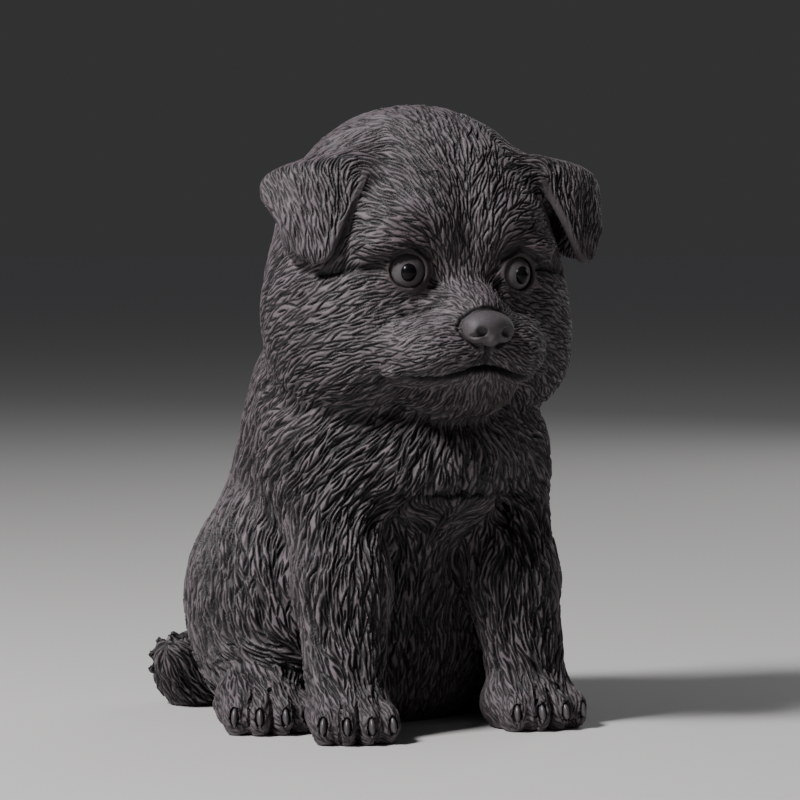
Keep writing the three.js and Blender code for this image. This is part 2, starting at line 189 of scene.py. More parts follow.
def ear_plane(m):
    """Height off the flap's middle sheet, distance to its outline (negative inside), place along the fold."""
    centre, u, v, n = ear_frame()
    q = [m[i] - F(centre[i]) for i in range(3)]
    x, y, w = (q[0] * F(k[0]) + q[1] * F(k[1]) + q[2] * F(k[2]) for k in (u, v, n))
    flat = np.stack([(EAR_POINTS - centre) @ u, (EAR_POINTS - centre) @ v], 1)
    flat *= 1 - EAR_ROUND / np.linalg.norm(flat, axis=1)[:, None]
    nearest, turns = None, 0
    for i in range(3):
        a, e = flat[i], flat[(i + 1) % 3] - flat[i]
        px, py = x - F(a[0]), y - F(a[1])
        t = np.clip((px * F(e[0]) + py * F(e[1])) / F(e @ e), 0, 1)
        gap = (px - t * F(e[0])) ** 2 + (py - t * F(e[1])) ** 2
        nearest = gap if nearest is None else np.minimum(nearest, gap)
        turns = turns + np.sign(F(e[0]) * py - F(e[1]) * px)
    rim = np.where(np.abs(turns) > 2.5, -1, 1) * np.sqrt(nearest) - F(EAR_ROUND)
    return w + F(0.012) * x * x + F(0.007) * y * y - F(1.5), rim, x


def ear_lip(rim, along, z):
    """1 along the smooth raised lip of the flap's front edge and tip."""
    front = np.clip((F(5) - along) / F(5), 0, 1)
    return np.clip((rim + F(1.3)) / F(0.7), 0, 1) * np.clip((F(178) - z) / F(5), 0, 1) * front


def ear(m):
    w, rim, along = ear_plane(m)
    edge = np.maximum(rim + F(EAR_THICK), 0)
    d = np.sqrt(edge * edge + w * w) - F(EAR_THICK) - F(0.2) * ear_lip(rim, along, m[2])
    d = smin(d, lobe(m, (40, -22, 172), (14.5, 13, 8), 0.35), 5)
    return smin(d, lobe(m, (47, -27, 160), (5, 9, 11), 0.5), 3)


# ---- the body ----
def ruff_line(x):
    """Height of the ragged lower edge of the ruff, across the chest."""
    return RUFF_Z - 0.002 * x * x + 0.5 * np.sin(x * 0.9 + 1)


def torso(p, m):
    d = lobe(p, (0, 32, 39), (55, 47.5, 50))
    d = smin(d, lobe(p, (0, 15, 84), (45, 44, 46)), 16)
    d = smin(d, lobe(p, (0, 3, 112), (42, 37, 26)), 16)
    d = smin(d, lobe(p, (0, -17, 87), (36, 31, 24)), 12)
    d = smin(d, lobe(m, (30, -8, 84), (19.5, 23.5, 28)), 9)
    d = smin(d, lobe(p, (0, 30, 18), (47, 40, 34)), 8)
    d = smin(d, lobe(m, (39, 18, 38), (21.5, 32, 38), -0.14), 5)
    drop = ruff_line(p[0]) - p[2]
    return smax(d, -np.maximum(-drop, p[1] + F(43) - F(0.3) * drop), 1.0)


PAWS = {
    "right_foreleg": dict(c=(-34.5, -35.5, 8), r=(14, 14, 11.5), yaw=-0.3, across=13.5, ahead=10,
                          toe=(4.9, 7.2, 7.4), chain=((-29.5, -15, 76), (-31.5, -24, 47), (-34.5, -32, 14))),
    "left_foreleg": dict(c=(31.5, -32, 8), r=(16.5, 14, 11.5), yaw=0.0, across=15, ahead=10,
                         toe=(5.2, 7.2, 7.4), chain=((28.5, -15, 76), (29.5, -24, 47), (33, -28.5, 14))),
    "right_hind_paw": dict(c=(-47, 2, 8.5), r=(15.5, 18.5, 12), yaw=-0.28, across=14.5, ahead=14.5,
                           toe=(5.1, 7.2, 7.4), chain=()),
    "left_hind_paw": dict(c=(45.5, 2, 8.5), r=(14, 18.5, 12), yaw=0.2, across=13, ahead=14.5,
                          toe=(4.8, 7.2, 7.4), chain=()),
}


def toes(paw):
    """Centre, heading and claw centre of each of the four toes."""
    for i in range(4):
        angle = (i - 1.5) * TOE_STEP
        side, ahead = math.sin(angle) * paw["across"], -math.cos(angle) * paw["ahead"]
        c, s = math.cos(paw["yaw"]), math.sin(paw["yaw"])
        facing = paw["yaw"] + angle * 0.5
        x = paw["c"][0] + side * c - ahead * s
        y = paw["c"][1] + side * s + ahead * c
        tip = paw["toe"][1] - CLAW_R[1] * 0.75
        claw = (x + tip * math.sin(facing), y - tip * math.cos(facing), CLAW_Z)
        yield (x, y, TOE_Z), facing, claw


def leg(p, paw):
    d = lobe(p, paw["c"], paw["r"], paw["yaw"])
    for centre, facing, claw in toes(paw):
        d = smin(d, lobe(p, centre, paw["toe"], facing), 1.1)
    x, y = p[0] - F(paw["c"][0]), p[1] - F(paw["c"][1])
    for i in (-1, 0, 1):
        turn = paw["yaw"] + i * TOE_STEP * 0.8
        a, b = F(math.cos(turn)), F(math.sin(turn))
        across, ahead = np.abs(x * a + y * b), x * b - y * a
        cut = np.maximum(np.maximum(across - F(0.35), -d - F(1.5)), np.maximum(p[2] - F(14.5), F(3) - ahead))
        d = smax(d, -cut, 1.0)
    for centre, facing, claw in toes(paw):
        d = smax(d, -lobe(p, claw, CLAW_R + CLAW_SLOT, facing, CLAW_LEAN), 0.4)
    if paw["chain"]:
        a, b, c = paw["chain"]
        d = smin(smin(limb(p, a, b, 17, 15), limb(p, b, c, 15, 12.5), 6), d, 3)
    return d


TAIL = ((-2, 64, 17, 14.5), (-24, 73, 13, 14), (-40, 70, 11.5, 12.5), (-49, 63, 16, 8))  # x, y, z, radius
TUFTS = np.radians((-20, 14, 48, 82, 116))  # locks fanning out of the tail's end
TUFT_REACH = 7.6


def tail(p):
    d = None
    for a, b in zip(TAIL, TAIL[1:]):
        e = limb(p, a[:3], b[:3], a[3], b[3])
        d = e if d is None else smin(d, e, 4)
    for angle in TUFTS:
        out = np.array([-0.88 * math.cos(angle), 0.47 * math.cos(angle), math.sin(angle)]) * TUFT_REACH
        d = smin(d, limb(p, TAIL[-1][:3], np.add(TAIL[-1][:3], out), 4.5, 2.3), 1.2)
    return d


PITS = ((-15.5, -32.5, 64), (22.5, -35, 68.5))  # where the forelegs meet the chest

PIECES = ("torso_shell", "head_shell", "left_ear", "right_ear", "left_foreleg", "right_foreleg",
          "left_hind_paw", "right_hind_paw", "tail")


def mirrored(p):
    return np.stack([np.abs(p[0]), p[1], p[2]])


def distances(p):
    """Every piece's own distance, in the order of PIECES."""
    h = to_head(p)
    hm, m = mirrored(h), mirrored(p)
    left = (h[0] > 0).astype(F)
    eyes = np.stack([hm[0] + left * F(EYE_SHIFT[0]), hm[1], hm[2] + left * F(EYE_SHIFT[2])])
    head = lids(skull(h, hm), eyes)
    flap = ear(np.stack([hm[0] - left * F(EAR_SHIFT), hm[1], hm[2]]))
    far = F(60)  # no part of the flap on the head's other side
    body = torso(p, m)
    legs = [leg(p, PAWS[n]) for n in PIECES[4:8]]
    return [body, head, np.where(h[0] > 0, flap, far), np.where(h[0] > 0, far, flap), *legs, tail(p)]


def whole(p):
    """All pieces run together into one skin, with a recess for the base plate and a flat foot."""
    d = distances(p)
    body = smin(d[1], d[0], 4.5)
    for i in (4, 5):
        body = smin(body, d[i], 4)
    for i in (6, 7, 8):
        body = smin(body, d[i], 3)
    fold = np.clip((p[2] - F(166)) / F(10), 0, 1)
    body = smin(body, np.minimum(d[2], d[3]), F(1.4) + F(9) * fold)
    recess = np.maximum(d[0] + F(WALL), p[2] - F(RECESS_Z))
    body = smax(body, -recess, 0.5)
    for pit in PITS:
        body = smax(body, -lobe(p, pit, (3.2, 6.5, 4.8)), 3.5)
    return smax(body, -p[2], 0.8)


# ---- numeric helpers ----
POOL = ThreadPoolExecutor(4)


def threaded(fn, n, chunk=40000):
    list(POOL.map(lambda s: fn(slice(s, min(s + chunk, n))), range(0, n, chunk)))


def evaluate(field, points):
    out = np.empty(len(points), F)

    def work(s):
        out[s] = field(np.ascontiguousarray(points[s].T, dtype=F))

    threaded(work, len(points))
    return out


def slope(field, points, h=0.12):
    """Field values, unit gradients and their true sizes, from four tetrahedral samples."""
    value, grad = np.empty(len(points), F), np.empty((len(points), 3), F)
    corners = np.array([[1, -1, -1], [-1, -1, 1], [-1, 1, -1], [1, 1, 1]], F)

    def work(s):
        p = np.ascontiguousarray(points[s].T, dtype=F)
        total, mean = np.zeros_like(p), 0
        for k in corners:
            f = field(p + (k * F(h))[:, None])
            mean = mean + f / 4
            total += k[:, None] * f
        value[s], grad[s] = mean, total.T / F(4 * h)

    threaded(work, len(points))
    size = np.maximum(np.linalg.norm(grad, axis=1, keepdims=True), 0.2)
    return value, grad / size, size[:, 0]


def settle(field, points, steps=2, most=0.4):
    """Moves points onto the surface; returns them with its normals."""
    normal = None
    for _ in range(steps):
        value, normal, size = slope(field, points)
        move = np.clip(value / size, -most, most)
        points = points - normal * move[:, None]
    return points, normal


def surface_nets(field, low, high, step):
    """Vertices and quads of the surface where the field is zero, inside the box from low to high."""
    low, high = np.asarray(low, float), np.asarray(high, float)
    blocks = np.ceil((high - low) / (step * BLOCK)).astype(int)
    n = blocks * BLOCK
    spots = np.argwhere(np.ones(tuple(blocks), bool))
    far = evaluate(field, low + (spots + 0.5) * step * BLOCK - step / 2)
    near = np.abs(far) < step * BLOCK * 1.5
    values = np.empty((len(spots), BLOCK, BLOCK, BLOCK), F)
    values[:] = far[:, None, None, None]
    inner = np.argwhere(np.ones((BLOCK,) * 3, bool))
    points = low + step * (spots[near][:, None] * BLOCK + inner[None]).reshape(-1, 3)
    values[near] = evaluate(field, points).reshape(-1, BLOCK, BLOCK, BLOCK)
    values = values.reshape(*blocks, BLOCK, BLOCK, BLOCK).transpose(0, 3, 1, 4, 2, 5).reshape(tuple(n))
    inside = values < 0
    cells = n - 1
    count = np.zeros(tuple(cells), np.uint8)
    corners = [(a, b, c) for a in (0, 1) for b in (0, 1) for c in (0, 1)]
    for a, b, c in corners:
        count += inside[a:n[0] - 1 + a, b:n[1] - 1 + b, c:n[2] - 1 + c]
    active = (count > 0) & (count < 8)
    cell = np.argwhere(active)
    index = -np.ones(tuple(cells), np.int64)
    index[active] = np.arange(len(cell))
    corner = {}
    for a, b, c in corners:
        corner[a, b, c] = values[cell[:, 0] + a, cell[:, 1] + b, cell[:, 2] + c].astype(float)
    total, hits = np.zeros((len(cell), 3)), np.zeros(len(cell))
    for axis in range(3):
        others = [i for i in range(3) if i != axis]
        for u in (0, 1):
            for v in (0, 1):
                start = [0, 0, 0]
                start[others[0]], start[others[1]] = u, v
                stop = list(start)
                stop[axis] = 1
                a, b = corner[tuple(start)], corner[tuple(stop)]
                crossed = (a < 0) != (b < 0)
                t = np.where(crossed, a / np.where(crossed, a - b, 1), 0)
                point = np.tile(np.array(start, float), (len(cell), 1))
                point[:, axis] = t
                total[crossed] += point[crossed]
                hits[crossed] += 1
    verts = low + step * (cell + total / hits[:, None])
    quads = []
    for axis in range(3):
        o = [(axis + 1) % 3, (axis + 2) % 3]
        first, second = [slice(None)] * 3, [slice(None)] * 3
        first[axis], second[axis] = slice(0, n[axis] - 1), slice(1, n[axis])
        a, b = inside[tuple(first)], inside[tuple(second)]
        edge = np.argwhere(a != b)
        flip = a[a != b]
        keep = np.ones(len(edge), bool)
        for k in o:
            keep &= (edge[:, k] > 0) & (edge[:, k] < n[k] - 1)
        edge, flip = edge[keep], flip[keep]
        ring = []
        for du, dv in ((-1, -1), (0, -1), (0, 0), (-1, 0)):
            e = edge.copy()
            e[:, o[0]] += du
            e[:, o[1]] += dv
            ring.append(index[e[:, 0], e[:, 1], e[:, 2]])
        q = np.stack(ring, 1)
        q[~flip] = q[~flip][:, ::-1]
        quads.append(q)
    return verts, np.concatenate(quads)


def split(verts, quads):
    """Each quad becomes four; returns the new mesh."""
    n = len(verts)
    edges = np.stack([quads, np.roll(quads, -1, 1)], 2).reshape(-1, 2)
    key = np.sort(edges, 1)
    code = key[:, 0].astype(np.int64) * n + key[:, 1]
    unique, inverse = np.unique(code, return_inverse=True)
    a, b = unique // n, unique % n
    middles = (verts[a] + verts[b]) / 2
    centres = verts[quads].mean(1)
    mid = n + inverse.reshape(-1, 4)
    centre = n + len(unique) + np.arange(len(quads))
    faces = [np.stack([quads[:, i], mid[:, i], centre, mid[:, i - 1]], 1) for i in range(4)]
    return np.concatenate([verts, middles, centres]), np.stack(faces, 1).reshape(-1, 4)


# ---- labels: which piece each coarse face belongs to ----
def neighbours(quads):
    """Pairs of faces that share an edge."""
    edges = np.stack([quads, np.roll(quads, -1, 1)], 2).reshape(-1, 2)
    key = np.sort(edges, 1)
    order = np.lexsort((key[:, 1], key[:, 0]))
    k = key[order]
    same = (k[1:] == k[:-1]).all(1)
    face = np.repeat(np.arange(len(quads)), 4)[order]
    return face[:-1][same], face[1:][same]


def label_faces(verts, quads):
    """The nearest piece for each face, with ragged borders and stray patches cleared."""
    centre = verts[quads].mean(1)
    p = np.ascontiguousarray(centre.T, dtype=F)
    d = np.array(distances(p))
    neck = (centre[:, 2] - NECK_Z) * math.cos(NECK_TILT) - centre[:, 1] * math.sin(NECK_TILT)
    d[0] = np.maximum(d[0], neck)
    label = d.argmin(0)
    a, b = neighbours(quads)
    for _ in range(3):
        votes = np.zeros((len(quads), len(PIECES)), int)
        np.add.at(votes, (a, label[b]), 1)
        np.add.at(votes, (b, label[a]), 1)
        votes[np.arange(len(quads)), label] += 1
        label = votes.argmax(1)
    for _ in range(6):
        group = np.arange(len(quads))
        same = label[a] == label[b]
        x, y = a[same], b[same]
        while True:
            low = np.minimum(group[x], group[y])
            before = group.copy()
            np.minimum.at(group, x, low)
            np.minimum.at(group, y, low)
            group = group[group]
            if (group == before).all():
                break
        sizes = np.bincount(group, minlength=len(quads))
        best = np.zeros(len(PIECES), int)
        for i in range(len(PIECES)):
            mine = np.where(label == i)[0]
            best[i] = mine[sizes[group[mine]].argmax()] if len(mine) else 0
        crumb = group != group[best[label]]
        if not crumb.any():
            break
        for i, j in ((a, b), (b, a)):
            take = crumb[i] & ~crumb[j]
            label[i[take]] = label[j[take]]
    return label


# ---- fur: which way it lies, as pairs of place and direction, and the carved strokes ----
HEAD_FLOW = (
    ((0, -58, 138), (0, 0.3, 1)), ((9, -56, 134), (0.6, 0.4, 0.7)), ((0, -52, 148), (0, 0.2, 1)),
    ((8, -54, 158), (0.35, 0.3, 1)), ((12, -48, 172), (0.4, 0.6, 0.8)), ((8, -36, 188), (0.3, 1, 0.5)),
    ((0, -12, 198), (0, 1, 0)), ((22, -12, 191), (0.5, 0.9, -0.1)), ((0, 20, 182), (0, 0.6, -1)),
    ((28, 15, 172), (0.2, 0.5, -1)), ((0, 27, 150), (0, 0.3, -1)), ((20, -52, 158), (1, 0.2, 0.25)),
    ((30, -45, 160), (1, 0.5, 0.1)), ((26, -42, 172), (0.8, 0.6, 0.5)), ((42, -28, 152), (0.5, 1, -0.3)),
    ((12, -58, 137), (0.8, 0.4, -0.4)), ((20, -53, 135), (1, 0.5, -0.35)),
    ((34, -43, 132), (0.9, 0.8, -0.25)),
    ((47, -20, 132), (0.2, 1, -0.35)), ((46, 5, 135), (0, 1, -0.6)), ((7, -66, 121), (0.9, 0.3, -0.25)),
    ((18, -60, 124), (0.9, 0.5, -0.15)), ((26, -52, 120), (0.9, 0.8, -0.15)),
    ((38, -35, 117), (0.7, 0.9, -0.3)),
    ((43, -18, 112), (0.2, 0.9, -0.8)), ((0, -61, 108), (0, 0.3, -1)), ((10, -60, 108), (0.5, 0.3, -0.8)),
    ((24, -42, 104), (0.5, 0.7, -0.6)), ((0, -45, 100), (0, 0.6, -0.8)),
)
EAR_FLOW = (
    ((46, -42, 155), (-0.2, -0.3, -1)), ((38, -41, 171), (-0.1, -0.3, -1)),
    ((46, -35, 168), (-0.5, -0.4, -1)), ((55, -27, 168), (-0.6, -0.6, -1)),
    ((45, -20, 180), (0.9, -0.4, -0.2)), ((30, -30, 187), (0.8, 0.1, -0.2)),
)
BODY_FLOW = (
    ((0, -38, 98), (0, -0.2, -1)), ((0, -48, 85), (0, 0, -1)), ((15, -44, 92), (0.5, 0.1, -0.85)),
    ((18, -40, 104), (0.8, 0.3, -0.6)), ((30, -35, 95), (0.8, 0.4, -0.6)), ((42, -5, 108), (0.2, 1, -0.5)),
    ((38, -22, 84), (0.5, 0.6, -0.9)), ((46, -6, 92), (0.1, 1, -0.9)), ((0, -30, 66), (0, 0, -1)),
    ((0, 45, 118), (0, 0.4, -1)), ((0, 60, 80), (0, 0.25, -1)), ((32, 48, 80), (0.1, 0.3, -1)),
    ((47, 15, 88), (0.1, 0.6, -1)), ((54, 22, 65), (0, -0.3, -1)), ((57, -4, 40), (0, -0.45, -1)),
    ((59, 20, 40), (0, -0.1, -1)), ((0, 72, 40), (0, 0.1, -1)), ((35, 62, 35), (0.1, 0.1, -1)),
    ((52, 10, 15), (0, -0.8, -0.6)), ((32, -38, 60), (0, 0, -1)), ((46, -24, 50), (0.1, 0, -1)),
    ((18, -25, 45), (-0.05, 0, -1)), ((33, -45, 18), (0, -0.8, -0.7)), ((0, -15, 40), (0, 0, -1)),
    ((46, -5, 20), (0, -1, -0.4)), ((10, -36, 65), (-1, 0, -0.25)), ((13, -34, 57), (-0.5, 0, -1)),
    ((24, -34, 70), (0.9, 0.2, -0.5)), ((26, -36, 62), (0.5, 0, -1)),
)
TAIL_FLOW = (
    ((0, 76, 20), (-1, 0.2, 0)), ((-30, 86, 14), (-1, -0.1, 0)), ((-50, 74, 14), (-0.8, -0.5, 0.6)),
    ((-56, 60, 18), (-0.7, -0.4, 1)), ((-48, 56, 20), (-0.6, -0.2, 1)),
)


def flow_table():
    """Places and unit directions of the fur; all but the tail's are mirrored to both sides."""
    rows = []
    for table, turned in ((HEAD_FLOW, True), (EAR_FLOW, True), (BODY_FLOW, False)):
        for place, way in table:
            for side in (1, -1):
                a = np.array([place[0] * side, place[1], place[2]], float)
                b = np.array([way[0] * side, way[1], way[2]], float)
                rows.append((from_head(a), head_dir(b)) if turned else (a, b))
    rows += [(np.array(a, float), np.array(b, float)) for a, b in TAIL_FLOW]
    places = np.array([a for a, _ in rows])
    ways = np.array([b for _, b in rows])
    return places, ways / np.linalg.norm(ways, axis=1, keepdims=True)


FLOW_AT, FLOW_WAY = flow_table()
WAVES = RNG.normal(size=(10, 3)) * np.linspace(0.10, 0.5, 10)[:, None]
PHASES = RNG.uniform(0, 6.28, 10)


def ripple(p, scale=1.0):
    """Slow, irregular rise and fall over the whole figurine."""
    return np.sin(p @ (WAVES.T * scale) + PHASES).mean(1) * 1.8


def lie(p, n):
    """Unit direction in which the fur lies, tangent to the surface."""
    out = np.empty((len(p), 3))
    for s in range(0, len(p), 20000):
        gap = ((p[s:s + 20000, None] - FLOW_AT[None]) ** 2).sum(2)
        weight = 1 / (gap + 30.0) ** 2
        out[s:s + 20000] = weight @ FLOW_WAY
    out -= (out * n).sum(1, keepdims=True) * n
    out /= np.maximum(np.linalg.norm(out, axis=1, keepdims=True), 1e-6)
    turn = ripple(p) * 0.22
    side = np.cross(n, out)
    return out * np.cos(turn)[:, None] + side * np.sin(turn)[:, None]


def stroke_size(p):
    """Length, pitch and depth of the strokes at points p."""
    h = to_head(p.T.astype(F)).T
    muzzle = np.linalg.norm(h - np.array([0, -62, 128.0]), axis=1)
    length = np.clip(2.0 + 0.075 * muzzle, 2.6, 5.6)
    pitch = np.clip(0.76 + 0.004 * muzzle, 0.82, 1.05)
    depth = np.clip(0.42 + 0.005 * muzzle, 0.46, 0.72)
    body = np.clip((112 - p[:, 2]) / 20, 0, 1)
    length = length * (1 - body) + 6.2 * body
    pitch = pitch * (1 - body) + 1.15 * body
    depth = depth * (1 - body) + 0.95 * body
    flap = np.clip((np.abs(h[:, 0]) - 41) / 5, 0, 1) * np.clip((p[:, 2] - 146) / 6, 0, 1) * (h[:, 1] < -18)
    length, pitch, depth = length * (1 - 0.25 * flap), pitch * (1 - 0.15 * flap), depth * (1 - 0.35 * flap)
    foot = np.clip((20 - p[:, 2]) / 10, 0, 1) * np.clip((8 - p[:, 1]) / 6, 0, 1)
    length, pitch, depth = length * (1 - 0.45 * foot), pitch * (1 - 0.15 * foot), depth * (1 - 0.55 * foot)
    return length, pitch, depth


def buckets(points, cell):
    """Points sorted into cubic cells, for each_near."""
    low = points.min(0) - 2 * cell
    key3 = ((points - low) / cell).astype(np.int64)
    dims = key3.max(0) + 3
    key = (key3[:, 0] * dims[1] + key3[:, 1]) * dims[2] + key3[:, 2]
    order = np.argsort(key, kind="stable")
    return low, dims, order, key[order]


def each_near(points, grid, cell):
    """For each of the 27 neighbouring cells, yields (rows, starts, row of pair, item of pair)."""
    low, dims, order, keys = grid
    key3 = np.clip(((points - low) / cell).astype(np.int64), 1, dims - 2)
    for dx in (-1, 0, 1):
        for dy in (-1, 0, 1):
            for dz in (-1, 0, 1):
                key = ((key3[:, 0] + dx) * dims[1] + key3[:, 1] + dy) * dims[2] + key3[:, 2] + dz
                first = np.searchsorted(keys, key, "left")
                count = np.searchsorted(keys, key, "right") - first
                rows = np.where(count > 0)[0]
                if not len(rows):
                    continue
                c = count[rows]
                starts = np.concatenate([[0], np.cumsum(c)[:-1]])
                offset = np.arange(c.sum()) - np.repeat(starts, c)
                yield rows, starts, np.repeat(rows, c), order[np.repeat(first[rows], c) + offset]


def thin_out(p, t, n, length, pitch, rank):
    """Keeps strokes so that no two crowd each other: an even, staggered pattern."""
    cell = float(length.max())
    grid = buckets(p, cell)
    side = np.cross(n, t)
    left, right = [], []
    for _, _, i, j in each_near(p, grid, cell):
        keep = i < j
        i, j = i[keep], j[keep]
        gap = p[j] - p[i]
        a = (gap * t[i]).sum(1) / (0.74 * length[i])
        b = (gap * side[i]).sum(1) / (0.80 * pitch[i])
        c = (gap * n[i]).sum(1) / 2.0
        close = (a * a + b * b + c * c < 1) & ((n[i] * n[j]).sum(1) > 0.3)
        left.append(i[close])
        right.append(j[close])
    i, j = np.concatenate(left), np.concatenate(right)
    state = np.zeros(len(p), np.int8)
    while True:
        live = (state[i] == 0) & (state[j] == 0)
        i, j = i[live], j[live]
        if not len(i):
            break
        best = np.full(len(p), np.inf)
        np.minimum.at(best, i, rank[j])
        np.minimum.at(best, j, rank[i])
        win = (state == 0) & (rank < best)
        state[win] = 1
        state[j[win[i]]] = 2
        state[i[win[j]]] = 2
    return state != 2


def make_strokes(verts, quads, normals, dense, scale, seed):
    """Stroke centres scattered over the coarse skin and thinned to an even pattern."""
    rng = np.random.default_rng(seed)
    q = verts[quads]
    area = np.linalg.norm(np.cross(q[:, 2] - q[:, 0], q[:, 3] - q[:, 1]), axis=1) / 2
    n = int(area.sum() * dense)
    pick = np.searchsorted(np.cumsum(area) / area.sum(), rng.random(n))
    u, v = rng.random((2, n, 1))
    p = (q[pick, 0] * (1 - u) + q[pick, 1] * u) * (1 - v) + (q[pick, 3] * (1 - u) + q[pick, 2] * u) * v
    nn = normals[quads[pick]].mean(1)
    nn /= np.linalg.norm(nn, axis=1, keepdims=True)
    length, pitch, depth = stroke_size(p)
    length, pitch, depth = length * scale[0], pitch * scale[1], depth * scale[2]
    t = lie(p, nn)
    keep = thin_out(p, t, nn, length, pitch, rng.random(n))
    p, nn, t, length, pitch, depth = (k[keep] for k in (p, nn, t, length, pitch, depth))
    ahead = lie(p + t * 1.5, nn)
    bend = np.clip((np.cross(t, ahead) * nn).sum(1) / 1.5 + rng.normal(0, 0.05, len(p)), -0.16, 0.16)
    turn = rng.normal(0, 0.15, len(p))
    t = t * np.cos(turn)[:, None] + np.cross(nn, t) * np.sin(turn)[:, None]
    return dict(p=p, n=nn, t=t, side=np.cross(nn, t), bend=bend,
                half=length * rng.uniform(0.42, 0.88, len(p)), wide=pitch * rng.uniform(0.32, 0.46, len(p)),
                depth=depth * rng.uniform(0.6, 1.3, len(p)))


def carve(points, normals, s, reach):
    """Depth of the deepest stroke at each point."""
    grid = buckets(s["p"], reach)
    out = np.zeros(len(points), F)
    f = {k: v.astype(F) for k, v in s.items()}

    def work(sl):
        pts, nor = points[sl].astype(F), normals[sl].astype(F)
        deepest = np.zeros(len(pts), F)
        for rows, starts, i, j in each_near(pts, grid, reach):
            gap = pts[i] - f["p"][j]
            along = (gap * f["t"][j]).sum(1) / f["half"][j]
            ok = (np.abs(along) < 1) & ((nor[i] * f["n"][j]).sum(1) > 0.25)
            across = (gap * f["side"][j]).sum(1) - f["bend"][j] * (along * f["half"][j]) ** 2 / 2
            taper = np.clip(1 - along * along, 0, 1)
            v = np.abs(across) / (f["wide"][j] * np.sqrt(taper) + F(1e-3))
            away = np.clip(1 - np.abs((gap * f["n"][j]).sum(1)) / 3, 0, 1)
            profile = np.clip(1 - v * v, 0, 1)
            depth = np.where(ok, f["depth"][j] * profile * np.sqrt(taper) * away, 0)
            best = np.maximum.reduceat(depth, starts)
            deepest[rows] = np.maximum(deepest[rows], best)
        out[sl] = deepest

    threaded(work, len(points), 16000)
    return out


# ---- drawn creases: the mouth, the root of the nose, the folds round the eyes, a parting on each cheek ----
def crease(points, path, width, depth):
    path = np.asarray(path, float)
    gap = np.full(len(points), 1e9)
    for a, b in zip(path, path[1:]):
        e = b - a
        t = np.clip(((points - a) @ e) / (e @ e), 0, 1)
        gap = np.minimum(gap, ((points - a - t[:, None] * e) ** 2).sum(1))
    return depth * np.exp(-gap / width ** 2)


CREASES = (  # mirrored, head frame: path, width, depth
    (((0, -66, 115.2), (4, -66, 114.6), (8, -64.5, 113.4), (13, -61.5, 112.4), (19.5, -57, 111.8),
      (26, -50, 112.6)), 1.0, 2.6),
    (((26, -50, 112.6), (28, -48.5, 111), (28.3, -47.5, 108.8)), 0.8, 1.1),
    (((0, -67, 123), (0, -67, 115.2)), 0.8, 1.2),
    (((0, -65, 134.4), (4.2, -65, 133.7), (7.6, -64, 131.2), (8.5, -63, 128), (7.2, -64, 124.8),
      (3.6, -66, 123)), 0.8, 0.9),
    (((25.5, -48, 146.5), (30, -45, 146.8), (35, -41, 146), (41, -35, 144.5)), 1.2, 1.3),
    (((13.5, -55, 144), (11, -57, 139.5), (16, -56, 136), (22, -53, 134)), 1.1, 0.8),
    (((13, -53.5, 149), (18, -52.5, 153.3), (24, -49.5, 152.5), (28, -46.5, 149)), 1.1, 0.9),
    (((43, -16, 149), (45, -10, 142), (45, -9, 134), (47, -4, 127), (46, -6, 119), (42, -3, 111)), 1.2, 1.1),
)


def creases(points):
    h = to_head(points.T.astype(F)).T.astype(float)
    h[:, 0] = np.abs(h[:, 0])
    near = (h[:, 1] < 12) & (h[:, 2] > 98)
    total = np.zeros(len(points))
    for path, width, depth in CREASES:
        path, _ = settle(face_only, np.array(path, float), 4, 3.0)
        total[near] = np.maximum(total[near], crease(h[near], path, width, depth))
    return total


def ruff_edge(points):
    """Depth of the parting just under the ruff, straight across the chest."""
    off = (points[:, 2] - ruff_line(points[:, 0]) + 0.3) / 0.7
    across = np.clip((37 - np.abs(points[:, 0] - 4)) / 12, 0, 1)
    return np.exp(-off * off) * across * np.clip((-27 - points[:, 1]) / 4, 0, 1)


def face_only(p):
    return skull(p, mirrored(p))


def bare_skin(points):
    """1 where the clay is smooth: round the eyes, behind the nose pad, less so on the ears' front rim."""
    h = to_head(points.T.astype(F)).T.astype(float)
    m = h.copy()
    m[:, 0] = np.abs(m[:, 0])
    ring = np.linalg.norm((m - EYE) * np.array([1, 0.6, 1.05]), axis=1)
    smooth = np.clip((8.6 - ring) / 1.6, 0, 1)
    nose = np.linalg.norm((h - NOSE) * np.array([0.9, 1, 1.1]), axis=1)
    smooth = np.maximum(smooth, np.clip((8.4 - nose) / 1.0, 0, 1))
    m[:, 0] -= EAR_SHIFT * (h[:, 0] > 0)
    w, rim, along = ear_plane(m.T.astype(F))
    lip = ear_lip(rim, along, m[:, 2]) * (np.abs(w) < 5) * (rim < 1)
    return np.maximum(smooth, lip * 0.75)


# ---- build the skin ----
FINE_FUR = dict(dense=2.4, scale=(1, 1, 1), seed=11)
LOCKS = dict(dense=0.16, scale=(2.6, 3.6, 1.0), seed=12)
FINE_REACH, LOCK_REACH = 4.8, 12.4  # cell sizes of the search for strokes near a point
CHIN = (0, -52, 106)

verts, quads = surface_nets(whole, SKIN_LOW, SKIN_HIGH, SKIN_STEP)
verts, normals = settle(whole, verts, 2)
label = label_faces(verts, quads)
fine_strokes = make_strokes(verts, quads, normals, **FINE_FUR)
lock_strokes = make_strokes(verts, quads, normals, **LOCKS)
fine, faces = split(verts, quads)
fine, normals = settle(whole, fine, 2)
grooves = carve(fine, normals, fine_strokes, FINE_REACH)
locks = carve(fine, normals, lock_strokes, LOCK_REACH)
smooth = bare_skin(fine)
folds = np.maximum(creases(fine), ruff_edge(fine))
flat = np.clip(fine[:, 2] / 1.5, 0, 1)
calm = 1 - 0.6 * np.clip((fine[:, 2] - 104) / 12, 0, 1)
grooves, locks = grooves * (1 - smooth) * flat, locks * (1 - smooth) * flat * calm
swell = ripple(fine, 1.6) * 0.18 * (1 - smooth) * flat
shift = swell - grooves - locks - folds * flat

